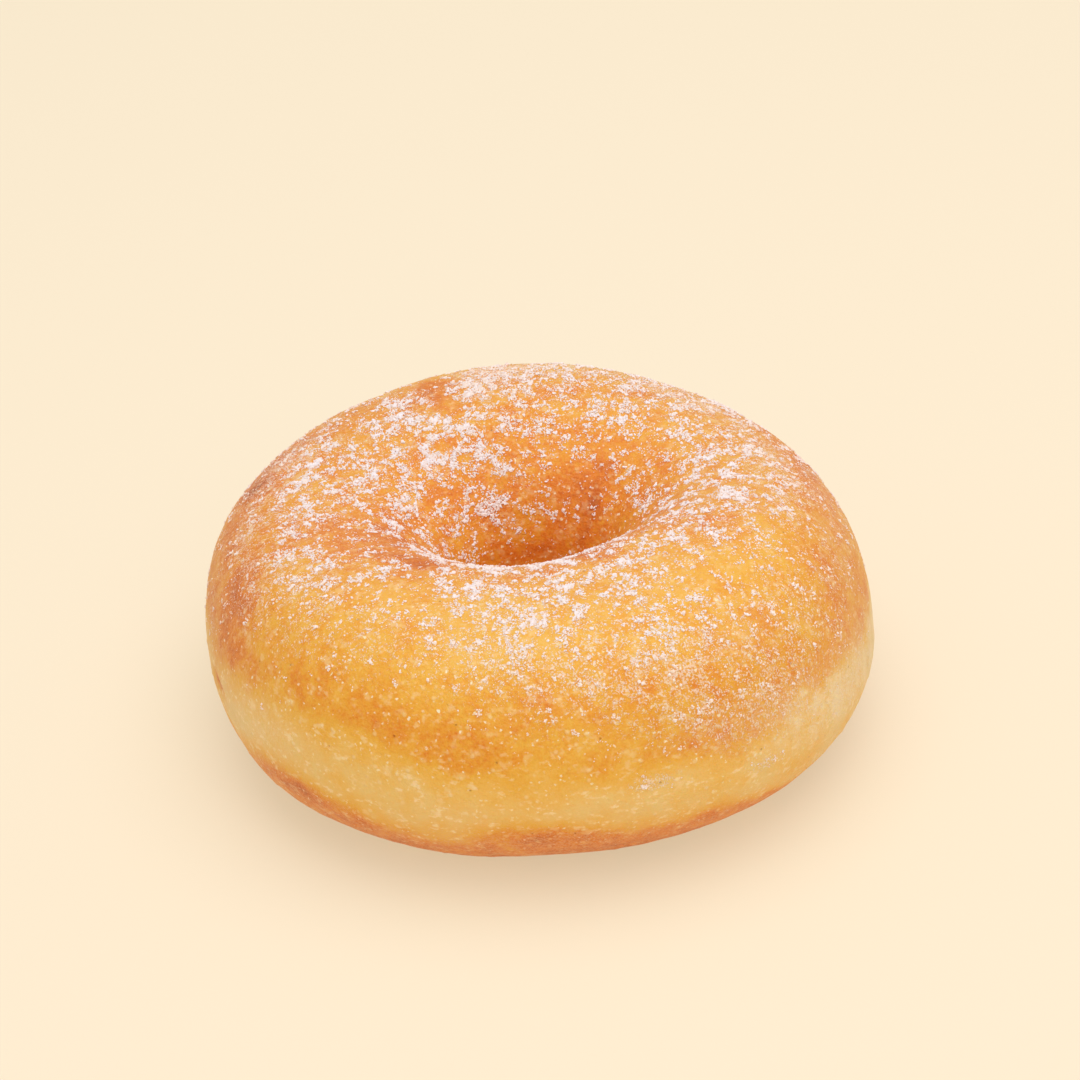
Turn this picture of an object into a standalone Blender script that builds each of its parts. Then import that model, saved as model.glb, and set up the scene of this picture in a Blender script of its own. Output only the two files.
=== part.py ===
"""Ring doughnut: one fried ring of raised dough, fuller outside than inside, with a slim hole.

The tube's section is four quarters of a superellipse that meet at the crest, at the underside and
at the two waists. Low waves round the ring make its outline, hole, crest and waist uneven, the pale
waist stands out a little on one side, and the underside has a small flat spot to rest on.
Metres, +Z up. The origin is at the middle of the ring, on the surface that it rests on.
"""

import math

import bpy

MM = 0.001

# Driving dimensions, before the waves are added.
OUTER_RADIUS = 44.0 * MM
CREST_RADIUS = 26.3 * MM
HOLE_RADIUS = 7.8 * MM
WAIST_HEIGHT = 16.1 * MM
THICKNESS = 34.4 * MM
FLAT_DEPTH = 0.45 * MM

# How full each quarter of the section is: 2 is an ellipse, and more is squarer.
OUTER_TOP_FULLNESS = 2.33
INNER_TOP_FULLNESS = 2.13
OUTER_BASE_FULLNESS = 2.09
INNER_BASE_FULLNESS = 2.11

# Waves round the ring: number of lobes, height of a lobe, direction of a lobe in degrees.
OUTLINE_WAVES = (
    (1, 0.65 * MM, -138.0),
    (2, 0.97 * MM, -49.0),
    (3, 0.45 * MM, 22.0),
    (4, 0.56 * MM, 45.0),
)
CREST_WAVES = ((1, 1.0 * MM, 134.0),)
HOLE_WAVES = (
    (1, 0.73 * MM, 118.0),
    (2, 0.57 * MM, 5.0),
)
TOP_WAVES = (
    (1, 1.04 * MM, -29.0),
    (2, 1.16 * MM, -82.0),
    (3, 0.79 * MM, -27.0),
)
WAIST_WAVES = (
    (1, 1.4 * MM, 137.0),
    (2, 1.88 * MM, -83.0),
)

# The pale waist band: how far it stands out on average, how much that varies, and where it is most.
BAND_BULGE = 0.10 * MM
BAND_BULGE_WAVES = ((1, 0.25 * MM, -40.0),)
BAND_ANGLE = math.radians(-3.0)
BAND_SPREAD = math.radians(13.0)

RING_SEGMENTS = 80
TUBE_SEGMENTS = 40

CRUST_COLOUR = (0.80, 0.36, 0.07, 1.0)
CRUST_ROUGHNESS = 0.55


def wave_sum(waves, direction):
    """Sum of the waves in one direction from the ring's axis."""
    return sum(
        height * math.cos(lobes * (direction - math.radians(lobe_direction)))
        for lobes, height, lobe_direction in waves
    )


def rounded(value, fullness):
    """A cosine or sine, bent so that a circle becomes a superellipse of that fullness."""
    return math.copysign(abs(value) ** (2.0 / fullness), value)


def fullness_of(outward, upward):
    """The fullness of the quarter that a point of the section lies in."""
    if upward >= 0.0:
        return OUTER_TOP_FULLNESS if outward >= 0.0 else INNER_TOP_FULLNESS
    return OUTER_BASE_FULLNESS if outward >= 0.0 else INNER_BASE_FULLNESS


def crust_point(direction, tube_angle):
    """A point of the crust: direction round the ring, and angle round the tube from its outer waist."""
    outer = OUTER_RADIUS + wave_sum(OUTLINE_WAVES, direction)
    crest = CREST_RADIUS + wave_sum(CREST_WAVES, direction)
    hole = HOLE_RADIUS + wave_sum(HOLE_WAVES, direction)
    top = THICKNESS + wave_sum(TOP_WAVES, direction)
    waist = WAIST_HEIGHT + wave_sum(WAIST_WAVES, direction)

    outward = math.cos(tube_angle)
    upward = math.sin(tube_angle)
    fullness = fullness_of(outward, upward)
    reach = outer - crest if outward >= 0.0 else crest - hole
    rise = top - waist if upward >= 0.0 else waist
    from_band = (tube_angle - BAND_ANGLE) / BAND_SPREAD
    bulge = (BAND_BULGE + wave_sum(BAND_BULGE_WAVES, direction)) * math.exp(-(from_band**2))

    radius = crest + reach * rounded(outward, fullness) + bulge
    height = waist + rise * rounded(upward, fullness)
    return (
        radius * math.cos(direction),
        radius * math.sin(direction),
        max(height - FLAT_DEPTH, 0.0),
    )


def clear_scene():
    for obj in list(bpy.data.objects):
        bpy.data.objects.remove(obj, do_unlink=True)


def crust_material():
    material = bpy.data.materials.new("fried_crust")
    material.use_nodes = True
    shader = material.node_tree.nodes["Principled BSDF"]
    shader.inputs["Base Color"].default_value = CRUST_COLOUR
    shader.inputs["Roughness"].default_value = CRUST_ROUGHNESS
    shader.inputs["Metallic"].default_value = 0.0
    return material


def make_dough_ring(collection):
    """A torus whose points are moved out to the crust, and then centred on the origin."""
    bpy.ops.mesh.primitive_torus_add(
        major_segments=RING_SEGMENTS,
        minor_segments=TUBE_SEGMENTS,
        major_radius=CREST_RADIUS,
        minor_radius=WAIST_HEIGHT,
    )
    ring = bpy.context.object
    ring.name = "dough_ring"
    points = ring.data.vertices
    for point in points:
        x, y, z = point.co
        direction = math.atan2(y, x)
        tube_angle = math.atan2(z, math.hypot(x, y) - CREST_RADIUS)
        point.co = crust_point(direction, tube_angle)

    middle_x = (min(p.co.x for p in points) + max(p.co.x for p in points)) / 2.0
    middle_y = (min(p.co.y for p in points) + max(p.co.y for p in points)) / 2.0
    for point in points:
        point.co.x -= middle_x
        point.co.y -= middle_y

    ring.data.shade_smooth()
    ring.data.materials.append(crust_material())
    for holder in list(ring.users_collection):
        holder.objects.unlink(ring)
    collection.objects.link(ring)
    return ring


def main():
    clear_scene()
    collection = bpy.data.collections.new("ring_doughnut")
    bpy.context.scene.collection.children.link(collection)
    make_dough_ring(collection)


main()
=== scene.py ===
import itertools
import math

import bpy
import numpy as np
from mathutils import Matrix, Vector


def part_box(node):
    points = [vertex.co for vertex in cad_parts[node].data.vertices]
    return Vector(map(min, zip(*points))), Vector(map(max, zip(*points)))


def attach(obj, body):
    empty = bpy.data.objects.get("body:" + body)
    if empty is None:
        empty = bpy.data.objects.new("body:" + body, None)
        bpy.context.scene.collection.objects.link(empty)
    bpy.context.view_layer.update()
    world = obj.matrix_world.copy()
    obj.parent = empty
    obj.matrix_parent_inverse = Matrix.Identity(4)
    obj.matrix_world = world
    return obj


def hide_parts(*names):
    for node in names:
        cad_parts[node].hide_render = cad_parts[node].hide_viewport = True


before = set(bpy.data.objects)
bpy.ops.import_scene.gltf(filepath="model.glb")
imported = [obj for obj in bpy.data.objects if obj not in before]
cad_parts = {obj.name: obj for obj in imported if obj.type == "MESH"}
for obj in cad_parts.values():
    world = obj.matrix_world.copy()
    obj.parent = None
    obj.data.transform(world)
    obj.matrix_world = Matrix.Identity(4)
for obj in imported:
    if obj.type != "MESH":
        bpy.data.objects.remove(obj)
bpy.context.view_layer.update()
ringLow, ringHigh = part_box("dough_ring")
print("frame loaded")

mm = 0.001


class Value:
    # A shader socket that takes part in ordinary arithmetic: each operator adds one Math node
    def __init__(self, finish, socket):
        self.finish = finish
        self.socket = socket

    def maths(self, operation, first, second, clamp=False):
        # One Math node on two sockets or numbers
        settings = {"operation": operation, "use_clamp": clamp}
        return self.finish.node("ShaderNodeMath", settings, {0: first, 1: second})

    def __add__(self, other):
        return self.maths("ADD", self, other)

    def __sub__(self, other):
        return self.maths("SUBTRACT", self, other)

    def __mul__(self, other):
        return self.maths("MULTIPLY", self, other)

    def __rsub__(self, other):
        return self.maths("SUBTRACT", other, self)

    __radd__ = __add__
    __rmul__ = __mul__

    def clamped(self):
        return self.maths("ADD", self, 0.0, clamp=True)

    def above(self, start, end):
        # 0 below start, 1 above end, a smooth step between
        settings = {"interpolation_type": "SMOOTHSTEP"}
        sockets = {"Value": self, "From Min": start, "From Max": end}
        return self.finish.node("ShaderNodeMapRange", settings, sockets)

    def below(self, end, start):
        # 1 below end, 0 above start
        return 1.0 - self.above(end, start)


class Finish:
    # A material whose nodes are added by calls
    def __init__(self, name):
        self.material = bpy.data.materials.new(name)
        self.material.use_nodes = True
        self.tree = self.material.node_tree
        self.tree.nodes.clear()
        self.place = self.node("ShaderNodeTexCoord", output="Object")

    def node(self, kind, settings=None, sockets=None, output=0):
        # Any node: its type, its settings, the values or links of its sockets, and the output wanted
        made = self.tree.nodes.new(kind)
        for key, value in (settings or {}).items():
            if key == "stops":
                self.setStops(made.color_ramp, value)
            else:
                setattr(made, key, value)
        for key, value in (sockets or {}).items():
            if isinstance(value, Value):
                self.tree.links.new(value.socket, made.inputs[key])
            else:
                made.inputs[key].default_value = value
        return Value(self, made.outputs[output])

    def setStops(self, ramp, stops):
        while len(ramp.elements) < len(stops):
            ramp.elements.new(1.0)
        for element, (position, colour) in zip(ramp.elements, stops):
            element.position = position
            element.color = (*colour, 1.0)

    def noise(self, size, detail=2.0, roughness=0.5, place=None, output=0):
        # Noise whose lumps are about size metres across
        sockets = {"Vector": place or self.place, "Scale": 1.0 / size}
        sockets.update({"Detail": detail, "Roughness": roughness})
        return self.node("ShaderNodeTexNoise", None, sockets, output)

    def cells(self, size, output="Distance", place=None):
        # Distance to the middle of the nearest cell, in cell widths, or the cell's own random colour
        sockets = {"Vector": place or self.place, "Scale": 1.0 / size, "Randomness": 1.0}
        return self.node("ShaderNodeTexVoronoi", None, sockets, output)

    def attribute(self, name):
        return self.node("ShaderNodeAttribute", {"attribute_name": name}, output="Fac")

    def mixColours(self, amount, first, second):
        return self.node("ShaderNodeMix", {"data_type": "RGBA"}, {0: amount, 6: first, 7: second}, output=2)

    def chance(self, colour, output="Red"):
        # One random number of a cell, out of its random colour
        return self.node("ShaderNodeSeparateColor", None, {"Color": colour}, output)

    def surface(self, sockets):
        # Ends the material with one shader and hands it over
        shader = self.node("ShaderNodeBsdfPrincipled", None, sockets)
        end = self.tree.nodes.new("ShaderNodeOutputMaterial")
        self.tree.links.new(shader.socket, end.inputs["Surface"])
        return self.material


def latticeNoise(points, cell, seed):
    # Smooth noise from -1 to 1: random values at the corners of a cubic lattice, blended between
    # the eight corners around each point with the ease t*t*(3-2t). It repeats every 64 cells.
    side = 64
    table = np.random.default_rng(seed).uniform(-1.0, 1.0, (side, side, side))
    at = points / cell
    low = np.floor(at).astype(int)
    ease = at - low
    ease = ease * ease * (3.0 - 2.0 * ease)
    total = np.zeros(points.shape[:-1])
    for corner in np.ndindex(2, 2, 2):
        weight = np.prod(np.where(corner, ease, 1.0 - ease), axis=-1)
        spot = (low + corner) % side
        total += weight * table[spot[..., 0], spot[..., 1], spot[..., 2]]
    return total


def layeredNoise(points, layers):
    # Sum of lattice noises, each given as the size of its lumps, its height and its seed
    return sum(height * latticeNoise(points, size, seed) for size, height, seed in layers)


def smoothStep(values, start, end):
    # 0 up to start, 1 from end, and t*t*(3-2t) between
    t = np.clip((values - start) / (end - start), 0.0, 1.0)
    return t * t * (3.0 - 2.0 * t)


def meshObject(name, points, faces, smooth):
    # One object from an array of points and an array of faces that all have as many corners
    mesh = bpy.data.meshes.new(name)
    corners = faces.shape[1]
    mesh.vertices.add(len(points))
    mesh.vertices.foreach_set("co", points.astype(np.float32).ravel())
    mesh.loops.add(faces.size)
    mesh.loops.foreach_set("vertex_index", faces.astype(np.int32).ravel())
    mesh.polygons.add(len(faces))
    mesh.polygons.foreach_set("loop_start", np.arange(0, faces.size, corners, dtype=np.int32))
    mesh.polygons.foreach_set("use_smooth", np.full(len(faces), smooth))
    mesh.update(calc_edges=True)
    made = bpy.data.objects.new(name, mesh)
    bpy.context.scene.collection.objects.link(made)
    return made


def setAttribute(piece, name, values):
    # One number for each vertex, which the piece's material reads by name
    layer = piece.data.attributes.new(name, "FLOAT", "POINT")
    layer.data.foreach_set("value", values.astype(np.float32).ravel())


# The ring's shape, as the solid has it
ringShape = {
    "outerRadius": 44.0 * mm,
    "crestRadius": 26.3 * mm,
    "holeRadius": 7.8 * mm,
    "waistHeight": 16.1 * mm,
    "thickness": 34.4 * mm,
    "flatDepth": 0.45 * mm,
    # powers of the section's four quarters: 2 is an ellipse, and more is squarer
    "fullness": {"outerTop": 2.33, "innerTop": 2.13, "outerBase": 2.09, "innerBase": 2.11},
    # waves round the ring: number of lobes, height of a lobe in mm, direction of a lobe in degrees
    "outlineWaves": [(1, 0.65, -138), (2, 0.97, -49), (3, 0.45, 22), (4, 0.56, 45)],
    "crestWaves": [(1, 1.0, 134)],
    "holeWaves": [(1, 0.73, 118), (2, 0.57, 5)],
    "topWaves": [(1, 1.04, -29), (2, 1.16, -82), (3, 0.79, -27)],
    "waistWaves": [(1, 1.4, 137), (2, 1.88, -83)],
    "bandBulge": 0.10 * mm,
    "bandBulgeWaves": [(1, 0.25, -40)],
    "bandAngle": -3.0,
    "bandSpread": 13.0,
}


def waveSum(waves, direction):
    # Each wave is its height times the cosine of its number of lobes times the angle from its direction
    total = np.zeros_like(direction)
    for lobes, height, lobeDirection in waves:
        total += height * mm * np.cos(lobes * (direction - math.radians(lobeDirection)))
    return total


def ringSurface(direction, tubeAngle):
    # Points of the crust. direction goes round the ring, tubeAngle round its section from the outer
    # waist over the crest. The section is four quarters of a superellipse: radius = crest + reach *
    # cos^(2/fullness) and height = waist + rise * sin^(2/fullness), plus a Gaussian swell at the waist,
    # and all of it is let down by the depth of the flat spot.
    s = ringShape
    outer = s["outerRadius"] + waveSum(s["outlineWaves"], direction)
    crest = s["crestRadius"] + waveSum(s["crestWaves"], direction)
    hole = s["holeRadius"] + waveSum(s["holeWaves"], direction)
    top = s["thickness"] + waveSum(s["topWaves"], direction)
    waist = s["waistHeight"] + waveSum(s["waistWaves"], direction)
    outward = np.cos(tubeAngle)
    upward = np.sin(tubeAngle)
    full = s["fullness"]
    topFullness = np.where(outward >= 0.0, full["outerTop"], full["innerTop"])
    baseFullness = np.where(outward >= 0.0, full["outerBase"], full["innerBase"])
    fullness = np.where(upward >= 0.0, topFullness, baseFullness)
    reach = np.where(outward >= 0.0, outer - crest, crest - hole)
    rise = np.where(upward >= 0.0, top - waist, waist)
    fromBand = np.degrees(np.angle(np.exp(1j * tubeAngle))) - s["bandAngle"]
    swell = s["bandBulge"] + waveSum(s["bandBulgeWaves"], direction)
    swell = swell * np.exp(-(fromBand / s["bandSpread"]) ** 2)
    radius = crest + reach * np.sign(outward) * np.abs(outward) ** (2.0 / fullness) + swell
    height = waist + rise * np.sign(upward) * np.abs(upward) ** (2.0 / fullness) - s["flatDepth"]
    return np.stack([radius * np.cos(direction), radius * np.sin(direction), height], axis=-1)


def angleFrom(values, middle):
    # Signed angle in degrees from middle, the short way round
    return (values - middle + 180.0) % 360.0 - 180.0


def patchSum(patches, direction, tubeAngle):
    # Each patch is a soft oval: amount * exp(-(round/width)^2 - (tube/height)^2), all in degrees
    total = np.zeros_like(direction)
    for roundAngle, tubeMiddle, width, height, amount in patches:
        across = angleFrom(direction, roundAngle) / width
        along = angleFrom(tubeAngle, tubeMiddle) / height
        total += amount * np.exp(-(across ** 2) - along ** 2)
    return total


def profileAt(stops, angle):
    # Straight lines between stops, each an angle in degrees and a value
    angles, values = zip(*stops)
    return np.interp(angle, angles, values)


crustColours = {
    # browning from the pale waist (0) to the darkest crust (1), as colours of the bare crust
    "tones": [
        (0.00, (0.86, 0.59, 0.21)),
        (0.18, (0.88, 0.50, 0.10)),
        (0.36, (0.860, 0.437, 0.046)),
        (0.52, (0.825, 0.332, 0.022)),
        (0.68, (0.77, 0.212, 0.013)),
        (0.84, (0.62, 0.128, 0.009)),
        (1.00, (0.38, 0.060, 0.004)),
    ],
    # colours laid over the tones; the bloom colour also paints sheen along the outline, and the cream
    # colour also paints light at the band's right end
    "bloomAndSheenColour": (0.78, 0.37, 0.19, 1.0),
    "creamAndPaintedLightColour": (0.92, 0.70, 0.41, 1.0),
    "freckleColour": (0.97, 0.70, 0.36, 1.0),
    "sandColour": (0.98, 0.62, 0.20, 1.0),
    "dotColour": (1.0, 0.86, 0.62, 1.0),
    "bandDotColour": (0.97, 0.74, 0.40, 1.0),
    "poreColour": (0.30, 0.08, 0.01, 1.0),
    "powderColour": (0.98, 0.84, 0.76, 1.0),
    "meltedColour": (0.98, 0.78, 0.63, 1.0),
    # browning along the tube, away from the band: tube angle in degrees and browning. It runs darker under
    # the base and down in the hole, partly real browning and partly painted shade.
    "profile": [
        (-180, 0.50), (-150, 0.52), (-120, 0.60), (-90, 0.66), (-60, 0.74), (-40, 0.74), (-25, 0.66),
        (0, 0.54), (20, 0.52), (35, 0.46), (55, 0.41), (80, 0.44), (105, 0.54), (125, 0.62),
        (145, 0.64), (165, 0.58), (180, 0.50),
    ],
    # the pale band's upper and lower edge: direction and tube angle in degrees
    "bandTop": [
        (-180, 14), (-165, 12), (-150, 17), (-125, 13.5), (-105, 5.5), (-75, 3.5), (-60, 5), (-45, 10),
        (-30, 12), (0, 9), (45, 12), (90, 7), (135, 11), (180, 14),
    ],
    "bandBase": [
        (-180, -18), (-155, -16), (-140, -11), (-130, -13), (-120, -20), (-108, -28), (-97, -17),
        (-89, -14), (-78, -21), (-65, -21), (-45, -31), (-30, -30), (-15, -25), (30, -16), (75, -22),
        (120, -15), (160, -20), (180, -18),
    ],
    # how far the edges waver: size of the waver, height in degrees, seed
    "edgeWaver": [(8.0 * mm, 3.5, 13), (3.4 * mm, 2.5, 14), (1.6 * mm, 1.6, 17)],
    # half width of the edges' fade in degrees, by direction
    "edgeSoftness": [(-180, 7), (-150, 11), (-110, 12), (-70, 8), (-50, 4), (-10, 3), (40, 6), (180, 7)],
    # darker and lighter patches: direction, tube angle, two half widths, and change in browning. The dark
    # patches down in the hole, at directions 45, 50, 75 and -240, are painted shade in its recess.
    "patches": [
        (-164, 42, 8, 14, 0.32), (-171, 74, 11, 28, 0.10), (-178, 18, 12, 20, 0.07),
        (-210, 52, 14, 12, 0.09), (-236, 82, 14, 12, 0.05), (-48, 112, 28, 10, 0.10),
        (22, 60, 16, 14, 0.05), (50, 138, 14, 10, 0.06), (-175, 115, 24, 16, 0.14),
        (-158, 22, 9, 9, 0.12), (-195, 46, 22, 16, 0.16), (-168, 84, 22, 16, 0.08),
        (-255, 84, 14, 14, 0.08), (-222, 62, 22, 12, 0.10), (-134, 106, 14, 8, 0.24),
        (-85, 104, 7, 6, 0.14), (-66, 106, 6, 6, 0.10), (45, 145, 10, 16, 0.14), (-28, 91, 6, 5, 0.20),
        (-240, 172, 26, 10, 0.10), (75, 174, 28, 10, 0.14), (-247, 88, 4, 15, 0.05),
        (-249, 74, 10, 9, 0.13), (-70, 119, 12, 8, 0.18), (-170, 118, 12, 9, 0.08),
        (-22, 104, 18, 8, 0.07), (-270, 105, 10, 8, -0.07), (-240, 91, 14, 6, 0.05),
        (-208, 50, 18, 12, 0.10), (-160, 98, 18, 12, 0.06), (-30, 60, 9, 7, 0.06),
        (10, 52, 14, 9, 0.06), (-18, 42, 14, 14, 0.12), (-205, 72, 50, 34, 0.06),
        (20, 80, 50, 30, 0.05), (-198, 52, 22, 14, 0.08), (16, 52, 26, 13, 0.21),
        (-82, 18, 16, 9, -0.12), (-260, 165, 30, 10, -0.06), (-98, 74, 26, 20, -0.10),
        (-118, 18, 14, 10, 0.05), (-40, 20, 12, 8, 0.06), (-50, 80, 10, 8, -0.06),
    ],
    # the same for marks that lie over the band and its edges
    "marks": [
        (-140, -14, 9, 7, 0.36), (-130, -16, 7, 6, 0.15), (-93, -22, 7, 7, 0.16),
        (-66, -22, 6, 7, 0.12), (-165, 2, 3.4, 1.8, 1.1), (-168, -3, 2.5, 2.0, 0.5),
        (-8, -4, 14, 12, -0.10),
    ],
    # rosy bloom where the crust is dry and dusty, and painted sheen where the crust is seen edge-on along
    # the outline: direction, tube angle, two half widths, and amount
    "bloom": [
        (-176, 20, 20, 18, 0.36), (-202, 52, 24, 13, 0.12), (0, 90, 360, 24, 0.20),
        (-22, 22, 14, 18, 0.28), (4, 44, 20, 12, 0.52), (-134, 106, 12, 8, -0.18),
        (-225, 62, 24, 8, 0.14), (-50, 45, 10, 9, 0.22), (50, 76, 14, 8, 0.22), (40, 66, 30, 8, 0.32),
        (-95, -30, 60, 14, 0.46), (-148, -16, 14, 12, 0.34), (-34, -10, 12, 14, 0.08),
        (-58, 14, 14, 9, 0.34), (-165, 6, 12, 8, 0.3),
    ],
    # how far noise shifts the browning, and the band's own tone: size of the lumps, height, seed
    "toneNoise": [(7.0 * mm, 0.05, 11), (3.1 * mm, 0.035, 12)],
    "bandTone": 0.10,
    "bandNoise": [(5.0 * mm, 0.09, 15), (2.2 * mm, 0.07, 16)],
    # creamier dough on the band, and at its right end (direction -10) painted light where the light falls
    # on it: direction, tube angle, two half widths, and amount
    "cream": [
        (-38, 5, 16, 10, 0.80), (-10, 0, 15, 11, 0.8), (-147, 5, 13, 10, 0.50), (-84, -6, 10, 6, 0.15),
        (-104, -8, 8, 6, 0.2),
    ],
}


def browningOf(direction, tubeAngle, points):
    # The profile along the tube plus patches and noise, faded to the pale band between its two edges
    c = crustColours
    # the profile and the hole patches carry painted shade down in the hole and under the base
    tone = profileAt(c["profile"], tubeAngle) + patchSum(c["patches"], direction, tubeAngle)
    tone = tone + layeredNoise(points, c["toneNoise"])
    waver = layeredNoise(points, c["edgeWaver"])
    top = profileAt(c["bandTop"], direction) + waver
    base = profileAt(c["bandBase"], direction) - waver
    soft = profileAt(c["edgeSoftness"], direction)
    underTop = smoothStep(-tubeAngle, -top - soft, -top + soft)
    overBase = smoothStep(tubeAngle, base - soft, base + soft)
    inBand = underTop * overBase
    bandTone = c["bandTone"] + layeredNoise(points, c["bandNoise"])
    tone = tone + (bandTone - tone) * inBand
    return tone + patchSum(c["marks"], direction, tubeAngle), inBand


sugarFall = {
    # how much sugar lies along the tube: tube angle in degrees and amount
    "profile": [
        (-180, 0.02), (-179, 0.0), (4, 0.0), (14, 0.02), (30, 0.09), (50, 0.20), (65, 0.31), (80, 0.38),
        (95, 0.38), (112, 0.36), (125, 0.32), (140, 0.26), (155, 0.18), (168, 0.06), (180, 0.02),
    ],
    # where it lies thicker or thinner: direction, tube angle, two half widths in degrees, and change
    "patches": [
        (-232, 114, 30, 18, 0.24), (-265, 102, 14, 12, 0.06), (-208, 98, 16, 14, 0.10),
        (-247, 90, 3.4, 14, -0.50), (-254, 86, 5, 8, 0.24), (-241, 80, 6, 8, 0.20),
        (-228, 146, 26, 13, 0.20), (-252, 148, 18, 10, 0.12), (-190, 132, 16, 12, 0.10),
        (-262, 76, 6, 8, 0.14), (-235, 70, 16, 9, -0.14), (-180, 84, 12, 8, 0.04),
        (-155, 79, 10, 5, 0.14), (-126, 84, 14, 9, -0.24), (-155, 106, 20, 9, -0.16),
        (-170, 92, 14, 8, -0.20), (-270, 107, 12, 10, -0.24), (-50, 78, 12, 14, -0.12),
        (-30, 64, 14, 13, -0.18), (-189, 64, 12, 9, -0.14), (-251, 59, 14, 8, -0.24),
        (-236, 144, 10, 8, 0.14), (-232, 105, 10, 8, 0.30), (-209, 78, 12, 9, 0.10),
        (-88, 94, 85, 26, -0.08), (0, 116, 24, 13, -0.16), (-250, 100, 8, 12, -0.12),
        (-252, 137, 12, 7, 0.14), (-230, 123, 9, 6, -0.08), (-210, 119, 9, 8, 0.14),
        (-190, 112, 10, 13, -0.12), (-168, 83, 11, 13, -0.14), (-172, 58, 9, 6, 0.12),
        (-150, 121, 10, 7, -0.12), (-150, 90, 10, 8, -0.08), (-130, 103, 9, 7, -0.16),
        (-130, 74, 12, 9, -0.14), (-110, 74, 10, 8, -0.10), (-70, 110, 9, 15, -0.20),
        (-70, 45, 8, 8, -0.08), (-8, 80, 12, 8, -0.06), (10, 92, 10, 8, -0.24), (10, 75, 9, 7, 0.17),
        (30, 90, 10, 8, -0.10), (50, 112, 14, 13, -0.14), (8, 42, 9, 9, -0.06),
        (-10, 24, 10, 10, -0.05), (-180, 58, 16, 8, 0.10), (-142, 52, 24, 16, -0.13),
        (-112, 54, 14, 12, -0.10), (-150, 30, 40, 12, -0.06), (-190, 48, 14, 12, -0.12),
        (-175, 64, 14, 7, -0.06), (-112, 30, 20, 16, -0.07), (-90, 36, 11, 10, 0.04),
        (-118, 116, 32, 5, 0.46), (-76, 114, 12, 5, 0.16), (-146, 104, 16, 6, -0.12),
        (-82, 100, 8, 10, 0.06), (-68, 86, 6, 8, -0.08), (-56, 106, 10, 10, 0.04),
        (-86, 66, 10, 12, 0.02), (-72, 42, 16, 14, 0.06), (-58, 22, 16, 12, 0.12),
        (-50, 72, 14, 9, -0.12), (-28, 66, 8, 5, 0.06), (-12, 92, 16, 9, 0.14), (14, 84, 16, 8, 0.04),
        (-8, 54, 22, 14, -0.12), (36, 110, 26, 18, -0.12), (20, 142, 34, 14, -0.18),
        (70, 134, 24, 12, -0.16), (60, 158, 30, 10, -0.12), (66, 102, 8, 6, 0.10),
        (48, 70, 12, 8, 0.14), (30, 70, 10, 8, -0.10), (-74, 1, 3, 2, 0.75), (-54, -4, 3, 2.5, 0.85),
        (-66, 37, 3.5, 3, 0.22), (-74, 60, 9, 8, 0.08), (-231, 104, 8, 7, 0.14), (-170, 18, 8, 6, 0.06),
        (80, 86, 6, 6, 0.10), (-34, 118, 20, 8, -0.14), (-60, 108, 5, 5, 0.14),
        (-12, 136, 16, 10, -0.08), (-190, 76, 10, 8, 0.08), (-228, 117, 4, 5, -0.24),
        (-112, 90, 9, 8, 0.08), (-270, 89, 8, 8, 0.10), (-28, 120, 10, 7, -0.08),
        (-250, 74, 8, 7, -0.24), (-230, 74, 9, 6, -0.09), (-170, 76, 8, 7, -0.10),
        (60, 90, 22, 8, -0.07), (-50, 91, 8, 7, -0.12), (70, 136, 10, 8, -0.10),
        (-130, 105, 8, 6, -0.08), (-232, 104, 8, 6, 0.14), (30, 120, 8, 7, 0.12),
        (-138, 113, 10, 5, -0.14),
    ],
    # share of the sugar that is too fine to be grains, along the tube, and the most that it comes to
    "film": [(-180, 0.1), (-40, 0.8), (60, 1.0), (80, 0.85), (100, 0.45), (120, 0.28), (180, 0.1)],
    "thickestFilm": 0.33,
    # film with no grains in it: direction, tube angle, two half widths, and amount
    "filmOnly": [
        (-24, 4, 22, 10, 0.14), (-52, 14, 12, 9, 0.10), (-150, 44, 16, 20, 0.03),
        (-268, 77, 12, 9, 0.20),
    ],
    # where it has begun to melt into the crust: direction, tube angle, two half widths, and share
    "melted": [
        (0, 4, 900, 34, 0.6), (-46, 30, 42, 26, 0.9), (-78, 30, 18, 20, 0.5), (-176, 34, 26, 24, 0.9),
        (-206, 56, 26, 14, 0.7), (0, 56, 26, 16, 0.8), (-262, 72, 16, 10, 0.7), (46, 72, 34, 9, 0.7),
        (-138, 50, 30, 26, 0.6), (-110, 36, 30, 26, 0.5), (-262, 98, 14, 14, 0.5),
        (-118, 116, 16, 8, 0.4), (-66, 56, 14, 12, -0.3), (-74, 1, 5, 4, 0.35), (-54, -4, 5, 4, 0.40),
        (-206, 50, 26, 14, 0.2),
    ],
    # how lumpy it lies: size of the lumps, share, seed
    "lumps": [(6.0 * mm, 0.36, 21), (2.6 * mm, 0.50, 22), (1.5 * mm, 0.44, 23)],
    "thickestLump": 1.75,
    # the upward part of the crust's normal where sugar begins to stay, and where all of it stays
    "staysOn": (-0.35, 0.25),
    # how well the crust holds it: size of the lumps, share, seed
    "catches": [(1.7 * mm, 0.46, 41), (0.85 * mm, 0.56, 42), (0.42 * mm, 0.46, 43)],
}


def dustingOf(direction, tubeAngle, points, normals):
    # Sugar is sieved from above: the profile and patches, times lumpy noise, times how far the crust
    # faces up
    s = sugarFall
    amount = profileAt(s["profile"], tubeAngle) + patchSum(s["patches"], direction, tubeAngle)
    lumps = np.clip(1.0 + layeredNoise(points, s["lumps"]), 0.0, s["thickestLump"])
    facesUp = smoothStep(normals[..., 2], *s["staysOn"])
    return np.clip(amount * lumps * facesUp, 0.0, 1.0)


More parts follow.
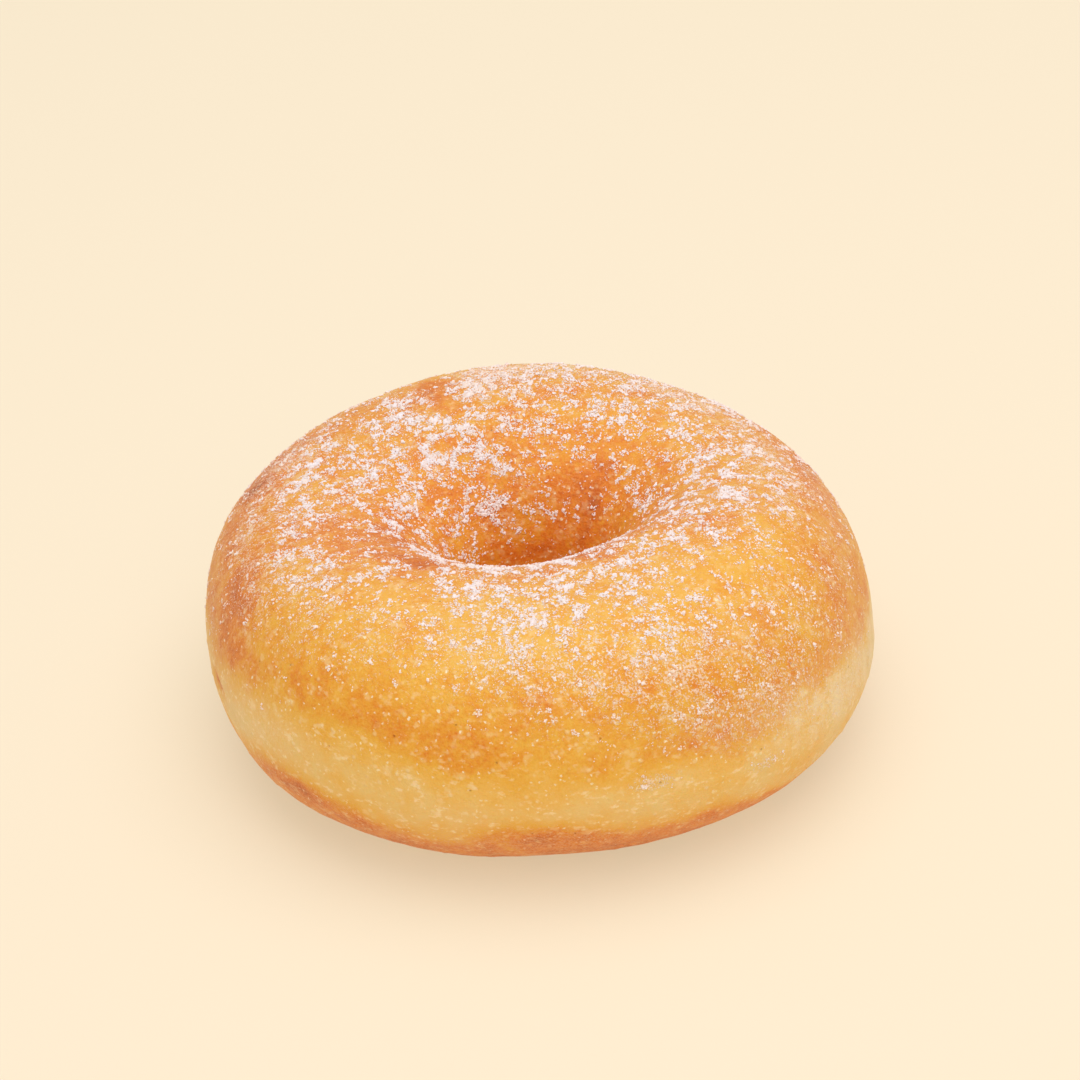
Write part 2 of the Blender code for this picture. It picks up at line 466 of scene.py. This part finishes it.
def filmOf(dusting, direction, tubeAngle):
    # The finest sugar: a share of the dusting up to a limit, plus the patches that have no grains
    s = sugarFall
    film = np.minimum(dusting * profileAt(s["film"], tubeAngle), s["thickestFilm"])
    return np.clip(film + patchSum(s["filmOnly"], direction, tubeAngle), 0.0, 1.0)


crustDetail = {
    # steps of the grid round the ring and round the tube
    "segmentsRound": 512,
    "segmentsTube": 190,
    # size of the dents, height, seed
    "dents": [
        (12.0 * mm, 0.16 * mm, 1), (5.0 * mm, 0.08 * mm, 2), (2.2 * mm, 0.055 * mm, 3),
        (1.2 * mm, 0.035 * mm, 4),
    ],
    # folds: direction, tube angle, two half widths in degrees, and depth, below 0 where it swells
    "folds": [
        (-165, 2, 4.0, 1.6, 0.55 * mm), (-162, 5, 5.0, 3.0, -0.20 * mm),
        (-248, 80, 3.0, 14.0, 0.25 * mm), (-12, 155, 22, 12, -0.45 * mm), (-12, 122, 24, 12, 0.35 * mm),
    ],
    # blisters, mostly on the outer side, and pores: number, range of radius, height or depth in radii
    "blisterCount": 520,
    "blisterRadius": (0.45 * mm, 1.1 * mm),
    "blisterHeight": 0.11,
    "blisterSide": (-0.3, 0.5),
    "poreCount": 420,
    "poreRadius": (0.35 * mm, 0.65 * mm),
    "poreDepth": 0.22,
    "unequal": (0.5, 1.3),
    "seed": 5,
}


def gridNormals(points):
    # Cross product of the two central differences on a grid that wraps both ways
    alongRing = np.roll(points, -1, axis=0) - np.roll(points, 1, axis=0)
    alongTube = np.roll(points, -1, axis=1) - np.roll(points, 1, axis=1)
    normals = np.cross(alongRing, alongTube)
    return normals / np.linalg.norm(normals, axis=-1, keepdims=True)


def domes(points, centres, radii, heights):
    # Sum of round bumps: height * (1 - (distance/radius)^2)^2 inside each radius
    flat = points.reshape(-1, 3)
    total = np.zeros(len(flat))
    for centre, radius, height in zip(centres, radii, heights):
        near = np.flatnonzero(np.abs(flat - centre).max(axis=1) < radius)
        inside = 1.0 - ((flat[near] - centre) ** 2).sum(axis=1) / radius ** 2
        total[near] += height * np.clip(inside, 0.0, None) ** 2
    return total.reshape(points.shape[:-1])


class Skin:
    # The crust as a grid of points that wraps both ways, with its normals and the size of its cells
    def __init__(self):
        d = crustDetail
        rng = np.random.default_rng(d["seed"])
        roundAngles = np.linspace(-180.0, 180.0, d["segmentsRound"], endpoint=False)
        tubeAngles = np.linspace(-180.0, 180.0, d["segmentsTube"], endpoint=False)
        self.direction, self.tubeAngle = np.meshgrid(roundAngles, tubeAngles, indexing="ij")
        smooth = ringSurface(np.radians(self.direction), np.radians(self.tubeAngle))
        normals = gridNormals(smooth)
        relief = layeredNoise(smooth, d["dents"])
        outside = smoothStep(np.cos(np.radians(self.tubeAngle)), *d["blisterSide"])
        blisters = self.scattered(rng, smooth, outside, d["blisterCount"], d["blisterRadius"])
        pores = self.scattered(rng, smooth, np.ones_like(relief), d["poreCount"], d["poreRadius"])
        relief += blisters * d["blisterHeight"] - pores * d["poreDepth"]
        relief -= patchSum(d["folds"], self.direction, self.tubeAngle)
        points = smooth + normals * relief[..., None]
        points[..., 2] = np.maximum(points[..., 2], 0.0)
        self.points = self.centred(points)
        self.normals = gridNormals(self.points)
        acrossRing = np.roll(self.points, -1, axis=0) - self.points
        acrossTube = np.roll(self.points, -1, axis=1) - self.points
        self.cellWidth = np.linalg.norm(acrossRing, axis=-1)
        self.cellHeight = np.linalg.norm(acrossTube, axis=-1)
        self.browning, self.band = browningOf(self.direction, self.tubeAngle, self.points)
        # the cream share also paints light at the band's right end, and the bloom share paints sheen along
        # the outline
        self.cream = self.share(crustColours["cream"])
        self.bloom = self.share(crustColours["bloom"])
        self.melted = self.share(sugarFall["melted"])
        self.dusting = dustingOf(self.direction, self.tubeAngle, self.points, self.normals)
        self.film = filmOf(self.dusting, self.direction, self.tubeAngle)

    def share(self, patches):
        return np.clip(patchSum(patches, self.direction, self.tubeAngle), 0.0, 1.0)

    def scattered(self, rng, smooth, chance, count, radiusRange):
        # Domes of random radius, at places drawn by chance, about as high as their radius
        flat = smooth.reshape(-1, 3)
        weight = chance.ravel() / chance.sum()
        centres = flat[rng.choice(len(flat), count, p=weight)]
        radii = rng.uniform(*radiusRange, count)
        return domes(smooth, centres, radii, radii * rng.uniform(*crustDetail["unequal"], count))

    def centred(self, points):
        # Moved so that its box stands in the middle of the solid's box, on the same floor
        low = points.min(axis=(0, 1))
        high = points.max(axis=(0, 1))
        shift = (np.array(ringLow) + np.array(ringHigh) - low - high) / 2.0
        shift[2] = ringLow.z - low[2]
        return points + shift

    def pick(self, rng, weight, count):
        # Random places on the skin, as fractional grid steps, by area times weight
        chance = np.cumsum((weight * self.cellWidth * self.cellHeight).ravel())
        cell = np.searchsorted(chance, rng.random(count) * chance[-1])
        row, column = np.divmod(cell, self.points.shape[1])
        return np.stack([row, column], axis=-1) + rng.random((count, 2))

    def moved(self, steps, shifts):
        # Steps moved by shifts in metres, along the ring and along the tube
        row = steps[..., 0].astype(int) % self.points.shape[0]
        column = steps[..., 1].astype(int) % self.points.shape[1]
        scale = np.stack([self.cellWidth[row, column], self.cellHeight[row, column]], axis=-1)
        return steps + shifts / scale

    def read(self, grid, steps):
        # Value of a grid at fractional steps, blended between the four corners of the cell
        low = np.floor(steps).astype(int)
        part = steps - low
        rows, columns = grid.shape[:2]
        total = 0.0
        for a, b in np.ndindex(2, 2):
            alongRing = np.where(a, part[..., 0], 1.0 - part[..., 0])
            alongTube = np.where(b, part[..., 1], 1.0 - part[..., 1])
            weight = alongRing * alongTube
            found = grid[(low[..., 0] + a) % rows, (low[..., 1] + b) % columns]
            total = total + found * (weight[..., None] if grid.ndim == 3 else weight)
        return total


crustTexture = {
    # noise over the crust, broadest first: size of the lumps, detail, roughness
    "noise": {
        "patch": (6.0 * mm, 2.0, 0.5),
        "mottle": (2.4 * mm, 3.0, 0.6),
        "freckle": (1.7 * mm, 2.0, 0.6),
        "drift": (0.8 * mm, 3.0, 0.6),
        "fine": (0.75 * mm, 3.0, 0.65),
        "wrinkle": (0.55 * mm, 3.0, 0.65),
        "grain": (0.30 * mm, 2.0, 0.6),
        "sand": (0.26 * mm, 2.0, 0.6),
        "speck": (0.25 * mm, 2.0, 0.6),
    },
    # how far noise shifts the browning, how much of that the band loses, and the cream and painted light
    # give back
    "stir": {"patch": 0.26, "mottle": 0.50, "fine": 0.34, "grain": 0.15},
    "bandCalm": 0.55,
    "creamAndPaintedLightStir": 0.6,
    # sandy look: where the noise begins and ends to count, and its strength everywhere
    "sandStep": (0.42, 0.62),
    "sandStrength": 0.12,
    # how fine noise and sand break up the bloom and painted sheen, and mottle and sand the cream and
    # painted light
    "bloomAndSheenFine": 0.4,
    "bloomAndSheenSand": 1.1,
    "creamAndPaintedLightMottle": 3.2,
    "creamAndPaintedLightSand": 0.5,
    "creamAndPaintedLightThreshold": 1.10,
    # freckles and smears: where the noise begins and ends to count, and strength
    "freckleStep": (0.58, 0.72),
    "freckleStrength": 0.32,
    "smearNoise": (1.8 * mm, 3.0, 0.62),
    "smearFlat": (1.0, 1.0, 1.7),
    "smearStep": (0.57, 0.68),
    "smearStrength": 0.36,
    "smearFine": 2.0,
    "bandSmear": 0.3,
    # bubbles under the skin: width of a cell, edge of a bubble in cell widths, share that show, strength
    "bubbleCell": 1.3 * mm,
    "bubbleEdge": (0.10, 0.32),
    "bubbleShare": (0.60, 0.68),
    "bubbleStrength": 0.45,
    # how much the freckles, smears and bubbles fade as the crust browns
    "paleBase": 1.32,
    "paleLoss": 0.62,
    # bright dots: width of a cell, how far noise shakes the cells, edge of a dot, how much smaller
    # the unlikely ones are, and share that show
    "dotCell": 0.62 * mm,
    "dotShakeSize": 0.45 * mm,
    "dotShake": 0.8 * mm,
    "dotEdge": (0.16, 0.42),
    "dotShrink": 0.3,
    "dotShare": (0.45, 0.80),
    "dotGroups": (0.38, 0.54),
    # strength of the dots: at the floor, what it gains higher up, and between which heights
    "dotStrength": 0.25,
    "dotGain": 0.65,
    "dotHeights": (5.0 * mm, 12.0 * mm),
    # pores: width of a cell, edge, share that show, strength
    "poreCell": 2.1 * mm,
    "poreEdge": (0.02, 0.08),
    "poreShare": (0.72, 0.77),
    "poreStrength": 0.30,
    # powder: how film and melting thicken it, how specks and drifts break it up, edge, strength
    "powderFilm": 0.54,
    "powderMelted": 0.80,
    "powderSpeck": 2.3,
    "powderDrift": 1.3,
    "powderEdge": (0.34, 0.46),
    "powderStart": (0.005, 0.10),
    "powderStrength": 0.62,
    # relief: height of each kind of bump, and depth in metres of a bump of 1
    "relief": {"wrinkle": 0.8, "fine": 0.6, "grain": 0.35, "bubble": 0.3, "pore": -0.8, "powder": 0.15},
    "reliefDepth": 0.20 * mm,
    "roughness": 0.50,
    "powderRoughness": 0.4,
    "mottleRoughness": 0.2,
}


def crustTones(f, noise):
    # The ramp of tones over the browning plus noise, with rosy bloom and painted sheen, and cream and
    # painted light, mixed in sandily
    t, c = crustTexture, crustColours
    stir = t["stir"]
    cream = f.attribute("cream")
    crusty = 1.0 - f.attribute("band") * (t["bandCalm"] - cream * t["creamAndPaintedLightStir"])
    broad = (noise["patch"] - 0.5) * stir["patch"] + (noise["mottle"] - 0.5) * stir["mottle"]
    uneven = broad + (noise["fine"] - 0.5) * stir["fine"] + (noise["grain"] - 0.5) * stir["grain"]
    tone = f.attribute("browning") + uneven * crusty
    colour = f.node("ShaderNodeValToRGB", {"stops": c["tones"]}, {"Fac": tone.clamped()})
    sandy = noise["sand"].above(*t["sandStep"])
    # bloom: rosy dust, and painted sheen along the outline
    bloom = f.attribute("bloom") * (noise["fine"] * t["bloomAndSheenFine"] + sandy * t["bloomAndSheenSand"])
    colour = f.mixColours(bloom, colour, c["bloomAndSheenColour"])
    # cream: creamier dough, and painted light at the band's right end
    brokenUp = noise["mottle"] * t["creamAndPaintedLightMottle"] + sandy * t["creamAndPaintedLightSand"] - t["creamAndPaintedLightThreshold"]
    return f.mixColours(cream * brokenUp, colour, c["creamAndPaintedLightColour"]), sandy


def paleSpots(f, noise, sandy, colour):
    # Freckles, smears lying round the ring and bubbles under the skin, then the sandy sheen over them
    t, c = crustTexture, crustColours
    freckle = noise["freckle"].above(*t["freckleStep"])
    flattened = f.node("ShaderNodeVectorMath", {"operation": "MULTIPLY"}, {0: f.place, 1: t["smearFlat"]})
    smear = f.noise(*t["smearNoise"], flattened).above(*t["smearStep"])
    smearStrength = t["smearStrength"] + f.attribute("band") * t["bandSmear"]
    bubbleChance = f.chance(f.cells(t["bubbleCell"], "Color")).above(*t["bubbleShare"])
    bubble = f.cells(t["bubbleCell"]).below(*t["bubbleEdge"]) * bubbleChance
    paler = freckle * t["freckleStrength"] + bubble * t["bubbleStrength"]
    paler = paler + smear * smearStrength * (noise["fine"] * t["smearFine"])
    paler = (paler * (t["paleBase"] - f.attribute("browning") * t["paleLoss"])).clamped()
    colour = f.mixColours(paler, colour, c["freckleColour"])
    return f.mixColours(sandy * t["sandStrength"], colour, c["sandColour"]), bubble


def brightDots(f, noise, colour):
    # Tiny dots in groups: cells on a place shaken by noise, smaller where the cell's chance is low
    t, c = crustTexture, crustColours
    shake = f.noise(t["dotShakeSize"], output="Color")
    shakes = {0: shake, 1: (t["dotShake"],) * 3, 2: f.place}
    shaken = f.node("ShaderNodeVectorMath", {"operation": "MULTIPLY_ADD"}, shakes)
    chance = f.chance(f.cells(t["dotCell"], "Color", shaken))
    distance = f.cells(t["dotCell"], "Distance", shaken) + (1.0 - chance) * t["dotShrink"]
    dot = distance.below(*t["dotEdge"]) * chance.above(*t["dotShare"])
    dot = dot * noise["mottle"].above(*t["dotGroups"])
    height = f.node("ShaderNodeSeparateXYZ", None, {"Vector": f.place}, output="Z")
    strength = height.above(*t["dotHeights"]) * t["dotGain"] + t["dotStrength"]
    dotColour = f.mixColours(f.attribute("band"), c["dotColour"], c["bandDotColour"])
    return f.mixColours(dot * strength, colour, dotColour)


def darkPores(f, colour):
    # Small dark holes in the middle of a few cells
    t = crustTexture
    chance = f.chance(f.cells(t["poreCell"], "Color"), "Green")
    pore = f.cells(t["poreCell"]).below(*t["poreEdge"]) * chance.above(*t["poreShare"])
    return f.mixColours(pore * t["poreStrength"], colour, crustColours["poreColour"]), pore


def finePowder(f, noise, colour):
    # Sugar too fine to be grains: specks where the film lies, warmer where it has melted
    t, c = crustTexture, crustColours
    film = f.attribute("film")
    melted = f.attribute("melted")
    amount = film * (t["powderFilm"] + melted * t["powderMelted"])
    amount = amount + (noise["speck"] - 0.5) * t["powderSpeck"] + (noise["drift"] - 0.5) * t["powderDrift"]
    powder = amount.above(*t["powderEdge"]) * film.above(*t["powderStart"])
    powderColour = f.mixColours(melted, c["powderColour"], c["meltedColour"])
    return f.mixColours(powder * t["powderStrength"], colour, powderColour), powder


def crustFinish():
    # The tones, then spots, dots, pores and powder over them, with relief and roughness from the same
    f = Finish("fried crust")
    t = crustTexture
    noise = {name: f.noise(*settings) for name, settings in t["noise"].items()}
    colour, sandy = crustTones(f, noise)
    colour, bubble = paleSpots(f, noise, sandy, colour)
    colour = brightDots(f, noise, colour)
    colour, pore = darkPores(f, colour)
    colour, powder = finePowder(f, noise, colour)

    shapes = dict(noise, bubble=bubble, pore=pore, powder=powder)
    bumps = sum(shapes[name] * height for name, height in t["relief"].items())
    relief = {"Height": bumps, "Distance": t["reliefDepth"], "Strength": 1.0}
    rough = powder * t["powderRoughness"] + (noise["mottle"] - 0.5) * t["mottleRoughness"] + t["roughness"]
    return f.surface({
        "Base Color": colour,
        "Roughness": rough.clamped(),
        "Normal": f.node("ShaderNodeBump", None, relief),
        "Specular IOR Level": 0.28,
        "Subsurface Weight": 0.15,
        "Subsurface Radius": (1.0, 0.40, 0.12),
        "Subsurface Scale": 1.5 * mm,
        "Sheen Weight": 0.03,
        "Sheen Roughness": 0.35,
        "Sheen Tint": (1.0, 0.90, 0.84, 1.0),
    })


def makeCrust(skin):
    # A four-sided face for each cell of the skin's grid, wrapped both ways
    rows, columns = skin.points.shape[:2]
    index = np.arange(rows * columns).reshape(rows, columns)
    nextRow = np.roll(index, -1, axis=0)
    faces = np.stack([index, nextRow, np.roll(nextRow, -1, axis=1), np.roll(index, -1, axis=1)], axis=-1)
    crust = meshObject("crust", skin.points.reshape(-1, 3), faces.reshape(-1, 4), True)
    for name in ("browning", "film", "bloom", "melted", "band", "cream"):
        setAttribute(crust, name, getattr(skin, name))
    crust.data.materials.append(crustFinish())
    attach(crust, "root")
    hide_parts("dough_ring")


def tetrahedron():
    # Four alternate corners of a cube, at distance 1
    corners = np.array([(1, 1, 1), (1, -1, -1), (-1, 1, -1), (-1, -1, 1)]) / math.sqrt(3.0)
    return corners, np.array([(0, 1, 2), (0, 3, 1), (0, 2, 3), (1, 3, 2)])


def octahedron():
    # The ends of the three axes, at distance 1
    corners = np.array([(1, 0, 0), (0, 1, 0), (0, 0, 1), (-1, 0, 0), (0, -1, 0), (0, 0, -1)], float)
    upper = [(0, 1, 2), (1, 3, 2), (3, 4, 2), (4, 0, 2)]
    lower = [(b, a, 5) for a, b, _ in upper]
    return corners, np.array(upper + lower)


def icosahedron():
    # Corners of three golden rectangles at right angles; a face joins three that are an edge apart
    golden = (1.0 + math.sqrt(5.0)) / 2.0
    corners = []
    for a, b in ((1, golden), (1, -golden), (-1, golden), (-1, -golden)):
        corners += [(0.0, a, b), (a, b, 0.0), (b, 0.0, a)]
    corners = np.array(corners) / math.hypot(1.0, golden)
    longest = 1.1 * 2.0 / math.hypot(1.0, golden)
    faces = np.array(list(itertools.combinations(range(12), 3)))
    sides = np.linalg.norm(corners[faces] - corners[np.roll(faces, 1, axis=1)], axis=2)
    faces = faces[sides.max(axis=1) < longest]
    first, second, third = corners[faces].transpose(1, 0, 2)
    inward = (np.cross(second - first, third - first) * first).sum(axis=1) < 0.0
    faces[inward] = faces[inward][:, [0, 2, 1]]
    return corners, faces


def lyingTurns(rng, normals, tilt):
    # Axes with the third near the crust's normal, tilted at random, and the first turned at random
    third = normals + tilt * rng.normal(size=normals.shape)
    third /= np.linalg.norm(third, axis=1, keepdims=True)
    first = np.cross(third, rng.normal(size=normals.shape))
    first /= np.linalg.norm(first, axis=1, keepdims=True)
    return np.stack([first, np.cross(third, first), third], axis=-1)


def grainCloud(name, rng, shape, places, turns, sizes, jitter):
    # Copies of one small solid: corners scaled by size and by a random factor each, turned and placed
    corners, faces = shape
    count = len(places)
    uneven = 1.0 + jitter * rng.uniform(-1.0, 1.0, (count, len(corners), 1))
    local = corners[None] * uneven * sizes[:, None, :]
    points = places[:, None, :] + np.einsum("nij,nkj->nki", turns, local)
    every = faces[None] + len(corners) * np.arange(count)[:, None, None]
    return meshObject(name, points.reshape(-1, 3), every.reshape(-1, 3), False)


sugarGrains = {
    # one entry for each piece: shape of a grain, number, radius, how closely they follow the dusting,
    # how far they keep off melted places, how well they catch, how they gather and spread in clusters,
    # how far their middles stand out in radii, and how high a cluster piles up
    "sugar_dust": {
        "shape": "tetrahedron", "count": 24000, "radius": (0.09 * mm, 0.16 * mm),
        "follows": 0.9, "shuns": 0.55, "catches": 0.6, "perCluster": 2,
        "spread": 0.24 * mm, "standOut": 0.2, "pile": 0.05 * mm,
    },
    "sugar_flakes": {
        "shape": "octahedron", "count": 15500, "radius": (0.12 * mm, 0.20 * mm),
        "follows": 1.2, "shuns": 0.65, "catches": 0.9, "perCluster": 5,
        "spread": 0.22 * mm, "standOut": 0.2, "pile": 0.10 * mm,
    },
    "sugar_grains": {
        "shape": "octahedron", "count": 12500, "radius": (0.12 * mm, 0.21 * mm),
        "follows": 1.5, "shuns": 0.75, "catches": 1.0, "perCluster": 9,
        "spread": 0.24 * mm, "standOut": 0.2, "pile": 0.12 * mm,
    },
    "sugar_chips": {
        "shape": "icosahedron", "count": 2200, "radius": (0.14 * mm, 0.25 * mm),
        "follows": 1.2, "shuns": 0.80, "catches": 0.6, "perCluster": 2,
        "spread": 0.24 * mm, "standOut": 0.2, "pile": 0.08 * mm,
    },
}


sugarLooks = {
    # colours of dry and of damp sugar, light and shaded, and the lumps that shade it
    "dry": [(0.93, 0.855, 0.875, 1.0), (0.92, 0.79, 0.73, 1.0)],
    "damp": [(0.95, 0.83, 0.77, 1.0), (0.95, 0.74, 0.58, 1.0)],
    "shadeSize": 0.6 * mm,
    "shadeStep": (0.38, 0.62),
    # shape of a grain: its height beside its width, random stretch, random shift of its corners, tilt
    "flatness": 0.65,
    "stretch": (0.65, 1.35),
    "jitter": 0.3,
    "tilt": 0.4,
    # places tried for each cluster, how much of the catching is chance, and how unequal clusters are
    "tries": 3,
    "luck": 0.6,
    "unequal": (0.4, 1.3),
    # how far small grains outnumber large ones, and the first piece's seed
    "smallBias": 1.5,
    "seed": 31,
}


def sugarFinish():
    # Matt white, slightly warmer in soft lumps, and warmer still where it has melted
    f = Finish("powdered sugar")
    s = sugarLooks
    shade = f.noise(s["shadeSize"]).above(*s["shadeStep"])
    dry = f.mixColours(shade, *s["dry"])
    damp = f.mixColours(shade, *s["damp"])
    return f.surface({
        "Base Color": f.mixColours(f.attribute("melted"), dry, damp),
        "Roughness": 0.85,
        "Specular IOR Level": 0.3,
        "Subsurface Weight": 0.0,
    })


def clusterSteps(rng, skin, grain):
    # Middles by how much sugar fell there, kept where the crust catches it, then members spread round
    # each middle by a normal distribution and piled up towards it
    s = sugarLooks
    clusters = grain["count"] // grain["perCluster"]
    dry = 1.0 - grain["shuns"] * skin.melted
    tries = skin.pick(rng, skin.dusting ** grain["follows"] * dry, clusters * s["tries"])
    caught = grain["catches"] * layeredNoise(skin.read(skin.points, tries), sugarFall["catches"])
    caught = caught + s["luck"] * rng.random(len(tries))
    middles = tries[np.argsort(-caught, kind="stable")[:clusters]]
    owner = rng.integers(0, clusters, grain["count"])
    reach = grain["spread"] * rng.uniform(*s["unequal"], clusters)[owner]
    offsets = rng.normal(size=(grain["count"], 2))
    lift = grain["pile"] * np.exp(-(offsets ** 2).sum(axis=1)) * rng.random(grain["count"])
    return skin.moved(middles[owner], offsets * reach[:, None]), lift


def makeSugar(skin):
    # One piece for each kind of grain, laid along the crust and lifted a little along its normal
    shapes = {"tetrahedron": tetrahedron(), "octahedron": octahedron(), "icosahedron": icosahedron()}
    s = sugarLooks
    material = sugarFinish()
    for seed, (name, grain) in enumerate(sugarGrains.items(), s["seed"]):
        rng = np.random.default_rng(seed)
        count = grain["count"]
        shape = shapes[grain["shape"]]
        steps, lift = clusterSteps(rng, skin, grain)
        normals = skin.read(skin.normals, steps)
        radius = grain["radius"][0] + np.ptp(grain["radius"]) * rng.random(count) ** s["smallBias"]
        places = skin.read(skin.points, steps) + normals * (grain["standOut"] * radius + lift)[:, None]
        sizes = radius[:, None] * rng.uniform(*s["stretch"], (count, 3)) * (1.0, 1.0, s["flatness"])
        turns = lyingTurns(rng, normals, s["tilt"])
        piece = grainCloud(name, rng, shape, places, turns, sizes, s["jitter"])
        setAttribute(piece, "melted", np.repeat(skin.read(skin.melted, steps), len(shape[0])))
        piece.data.materials.append(material)
        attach(piece, "root")


studio = {
    # width of the floor in metres, its paint, and a glow that keeps it pale
    "floorSize": 4.0,
    "floorColour": (0.50, 0.36, 0.30, 1.0),
    "floorGlow": (0.44, 0.447, 0.304, 1.0),
    # soft light from all round
    "skyColour": (1.0, 0.985, 0.965, 1.0),
    "skyStrength": 0.60,
    # name, place and width in metres, watts
    "softboxes": [
        ("overhead", (0.08, -0.02, 0.75), 0.9, 3.15),
        ("front", (0.12, -0.62, 0.62), 0.6, 1.12),
    ],
    "softboxAim": (0.0, 0.0, 20.0 * mm),
    # how far the floor lies under the ring
    "floorGap": 0.02 * mm,
}


def makeStudio():
    # A pale sky, a flat floor just under the ring, and round softboxes turned towards it
    world = bpy.data.worlds.new("studio")
    bpy.context.scene.world = world
    world.use_nodes = True
    sky = world.node_tree.nodes["Background"]
    sky.inputs["Color"].default_value = studio["skyColour"]
    sky.inputs["Strength"].default_value = studio["skyStrength"]

    half = studio["floorSize"] / 2.0
    corners = np.array([(-half, -half), (half, -half), (half, half), (-half, half)])
    corners = np.column_stack([corners, np.full(4, ringLow.z - studio["floorGap"])])
    floor = meshObject("floor", corners, np.array([(0, 1, 2, 3)]), False)
    paint = Finish("pale floor")
    floor.data.materials.append(paint.surface({
        "Base Color": studio["floorColour"],
        "Roughness": 0.9,
        "Emission Color": studio["floorGlow"],
        "Emission Strength": 1.0,
    }))

    for name, place, width, watts in studio["softboxes"]:
        light = bpy.data.lights.new(name, "AREA")
        light.shape = "DISK"
        light.size = width
        light.energy = watts
        lamp = bpy.data.objects.new(name, light)
        lamp.location = place
        towards = Vector(studio["softboxAim"]) - lamp.location
        lamp.rotation_euler = towards.to_track_quat("-Z", "Y").to_euler()
        bpy.context.scene.collection.objects.link(lamp)


view = {
    # aim and distance in metres, angles in degrees, lens and sensor in millimetres
    "aim": (0.23 * mm, 0.99 * mm, 15.6 * mm),
    "distance": 588.0 * mm,
    "elevation": 31.58,
    "roll": 3.83,
    "rise": 0.93,
    "lens": 150.1,
    "sensor": 36.0,
}


def makeCamera():
    # Stands back from the aim along the elevation, then turned by the roll and tipped by the rise
    camera = bpy.data.cameras.new("camera")
    camera.lens = view["lens"]
    camera.sensor_width = view["sensor"]
    camera.clip_start = 0.01
    holder = bpy.data.objects.new("camera", camera)
    elevation = math.radians(view["elevation"])
    back = Vector((0.0, -math.cos(elevation), math.sin(elevation)))
    turned = Matrix.Rotation(math.radians(90.0) - elevation, 4, "X")
    turned = turned @ Matrix.Rotation(-math.radians(view["roll"]), 4, "Z")
    turned = turned @ Matrix.Rotation(math.radians(view["rise"]), 4, "X")
    holder.matrix_world = Matrix.Translation(Vector(view["aim"]) + back * view["distance"]) @ turned
    bpy.context.scene.collection.objects.link(holder)
    bpy.context.scene.camera = holder


makeCamera()
makeStudio()
bpy.context.scene.view_settings.view_transform = "Standard"
print("studio ready")

skin = Skin()
makeCrust(skin)
print("crust made")

makeSugar(skin)
print("sugar made")
